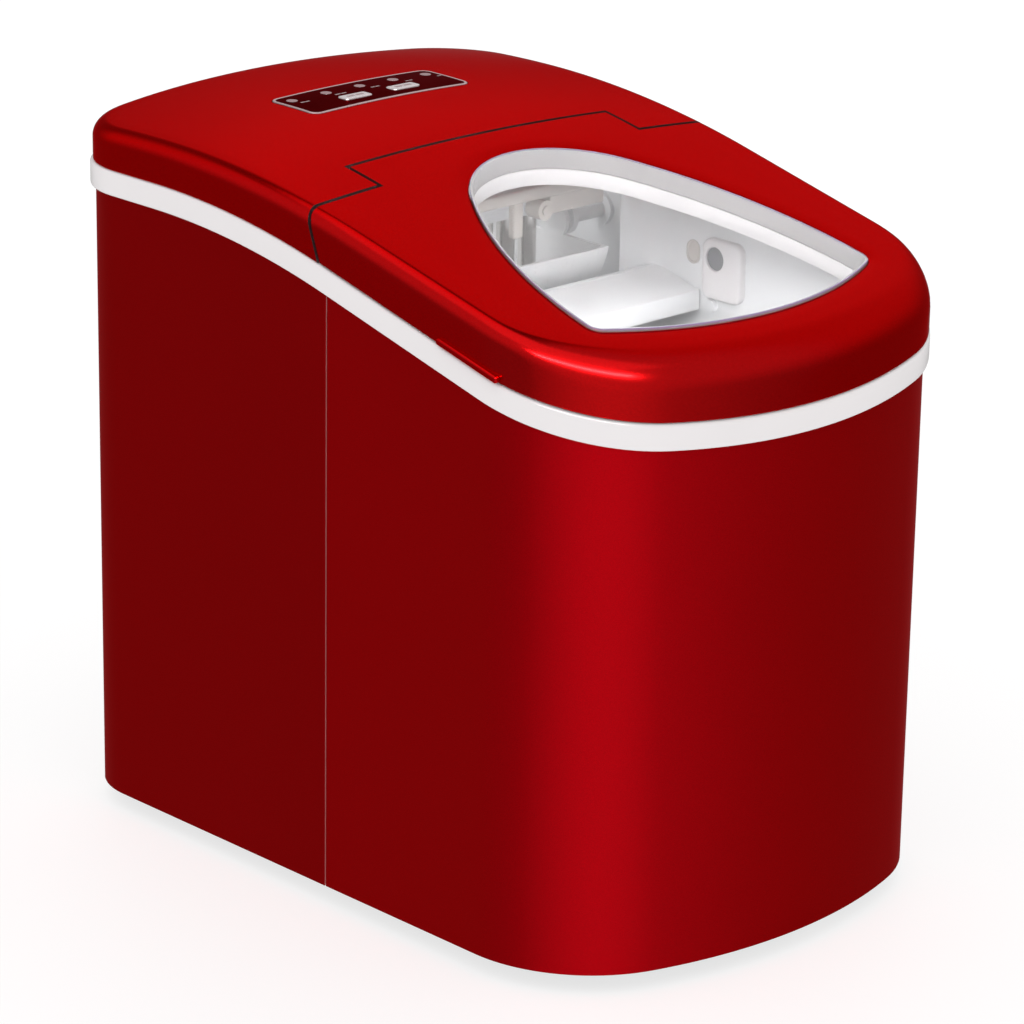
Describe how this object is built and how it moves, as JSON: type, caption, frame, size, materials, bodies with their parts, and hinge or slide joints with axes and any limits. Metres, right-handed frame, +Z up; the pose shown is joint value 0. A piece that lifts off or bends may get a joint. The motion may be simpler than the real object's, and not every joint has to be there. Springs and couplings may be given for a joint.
{
  "type": "countertop ice maker",
  "caption": "Countertop ice maker with a wrapped metal case, a tilting lid with a window, a button panel, and a tray, shovel, basket and cooling circuit inside.",
  "frame": {"origin": "middle of the bounding box's bottom, on the surface that the four feet stand on", "axes": "+Z up, front of the machine faces -Y, +X is the right side seen from the front"},
  "size_m": [0.2444, 0.358, 0.328],
  "materials": {
    "red_metal": "glossy metallic red lacquer",
    "red_gloss": "glossy metallic red lacquer",
    "white_gloss": "smooth gloss",
    "white_matte": "smooth satin",
    "panel_dark": "printed film",
    "panel_silver": "silver print",
    "button_silver": "silver lacquer",
    "lamp_lens": "diffusing lens",
    "clear_window": "clear moulded plastic",
    "frosted_plastic": "translucent moulded plastic",
    "sensor_lens": "smoky lens",
    "dark_plastic": "fine grain",
    "rubber": "matte",
    "silicone": "translucent silicone",
    "foam": "bead foam",
    "steel": "zinc plated",
    "galvanised": "galvanised sheet",
    "aluminium": "mill finish",
    "plated_copper": "nickel plated",
    "copper": "drawn copper",
    "black_paint": "satin black enamel",
    "circuit_board": "solder mask",
    "cable_sleeve": "braided sleeve"
  },
  "bodies": {
    "case": {"base_pan": "dark_plastic", "foot_front_left": "rubber", "foot_front_right": "rubber", "foot_rear_left": "rubber", "foot_rear_right": "rubber", "foot_screws": "steel", "front_wrap": "red_metal", "rear_wrap": "red_metal", "wrap_screws": "steel", "trim_band": "white_gloss", "rear_cover": "red_gloss", "panel_bezel": "panel_silver", "control_panel": "panel_dark", "indicator_lights": "lamp_lens", "control_board": "circuit_board", "button_switches": "dark_plastic", "hinge_pins": "steel", "inner_tub": "white_matte", "tub_insulation": "foam", "bulkhead": "galvanised", "ice_chute": "white_matte", "evaporator": "aluminium", "evaporator_fingers": "plated_copper", "evaporator_bracket": "white_matte", "evaporator_cover": "white_matte", "tray_bushes": "white_matte", "tray_motor": "galvanised", "sensor_housings": "white_matte", "sensor_lenses": "sensor_lens", "water_pump": "dark_plastic", "pump_hose": "silicone", "fill_spout": "white_matte", "compressor": "black_paint", "compressor_cap": "dark_plastic", "compressor_grommets": "rubber", "condenser_fins": "aluminium", "condenser_tube": "copper", "fan_shroud": "dark_plastic", "fan_motor": "galvanised", "drier_filter": "copper", "gas_valve": "galvanised", "discharge_tube": "copper", "suction_tube": "copper", "hot_gas_tube": "copper", "liquid_tube": "copper", "capillary_tube": "copper", "wiring": "cable_sleeve", "cord_gland": "dark_plastic"},
    "lid": {"lid_shell": "red_gloss", "window_pane": "clear_window", "lid_liner": "white_gloss", "lid_screws": "steel"},
    "fan": {"fan_blades": "dark_plastic"},
    "tray": {"water_tray": "frosted_plastic"},
    "shovel": {"ice_shovel": "frosted_plastic"},
    "basket": {"ice_basket": "white_gloss"},
    "power_button": {"power_button": "button_silver"},
    "select_button": {"select_button": "button_silver"},
    "drain_cap": {"drain_cap": "white_gloss", "drain_seal": "silicone"}
  },
  "joints": [
    {"name": "lid_hinge", "type": "hinge", "parent": "case", "child": "lid", "pos_m": [0, 0.011, 0.311], "axis": [-1, 0, 0], "range_deg": [0, 95]},
    {"name": "fan_spin", "type": "hinge", "parent": "case", "child": "fan", "pos_m": [0.0765, 0.107, 0.079], "axis": [1, 0, 0], "continuous": true},
    {"name": "tray_tilt", "type": "hinge", "parent": "case", "child": "tray", "pos_m": [0, 0.051, 0.264], "axis": [1, 0, 0], "range_deg": [0, 75]},
    {"name": "shovel_swing", "type": "hinge", "parent": "case", "child": "shovel", "pos_m": [0, 0.051, 0.264], "axis": [-1, 0, 0], "range_deg": [0, 75]},
    {"name": "basket_lift", "type": "slide", "parent": "case", "child": "basket", "axis": [0, 0, 1], "range_m": [0, 0.018]},
    {"name": "power_press", "type": "slide", "parent": "case", "child": "power_button", "axis": [0, 0, -1], "range_m": [0, 0.0008], "stiffness_N_per_m": 600},
    {"name": "select_press", "type": "slide", "parent": "case", "child": "select_button", "axis": [0, 0, -1], "range_m": [0, 0.0008], "stiffness_N_per_m": 600},
    {"name": "drain_turn", "type": "hinge", "parent": "case", "child": "drain_cap", "pos_m": [0.032, -0.15, 0.008], "axis": [0, 0, 1], "range_deg": [0, 90]}
  ],
  "couplings": [
    {"joint": "shovel_swing", "follows": "tray_tilt", "ratio": 1}
  ]
}
